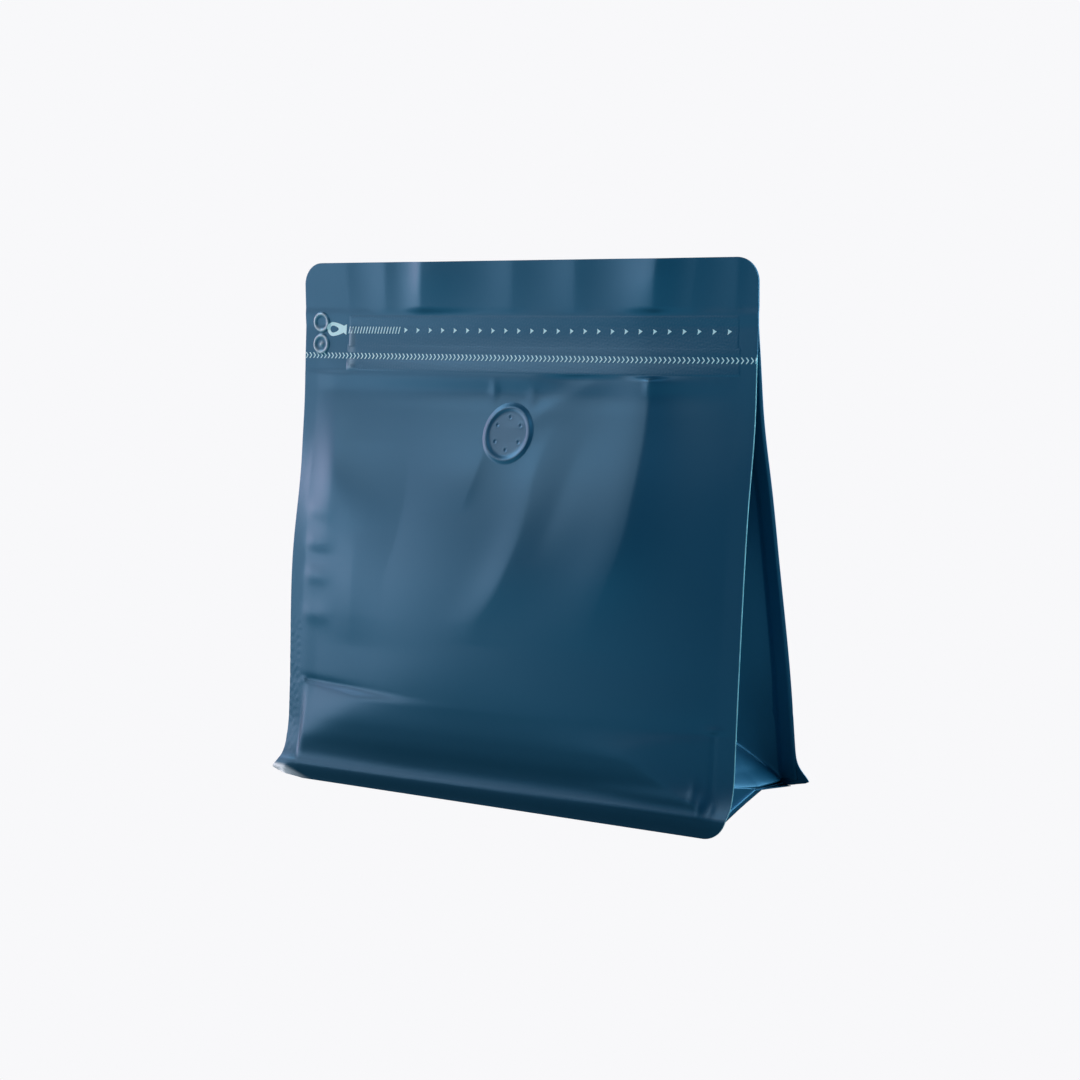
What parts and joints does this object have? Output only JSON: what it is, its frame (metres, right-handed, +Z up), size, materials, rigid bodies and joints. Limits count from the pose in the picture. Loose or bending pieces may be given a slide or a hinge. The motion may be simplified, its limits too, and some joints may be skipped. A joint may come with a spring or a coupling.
{
  "type": "square-bottom foil bag",
  "caption": "Shut foil bag that stands on a square bottom, with folded side gussets, welded corner seams, flat header, press-to-close zipper, tear strip, pull tab and degassing valve.",
  "frame": {"origin": "on the floor, under the middle of the base", "axes": "+X to the right along the width as seen from the front, -Y towards the viewer of the front panel (the one with the valve and zipper), +Z up"},
  "size_m": [0.2079, 0.0608, 0.2],
  "materials": {
    "foil_film": "matte blue metallised film with a soft satin sheen",
    "welded_film": "the same film, welded over the zipper and the tear strip, with a fine pebbled press",
    "valve_film": "the same film, drawn over the valve's rim",
    "white_print": "flat white ink"
  },
  "bodies": {
    "root": {"bag_body": "foil_film", "press_zipper": "welded_film", "tear_strip": "welded_film", "pull_tab": "welded_film", "degassing_valve": "valve_film"}
  },
  "joints": []
}
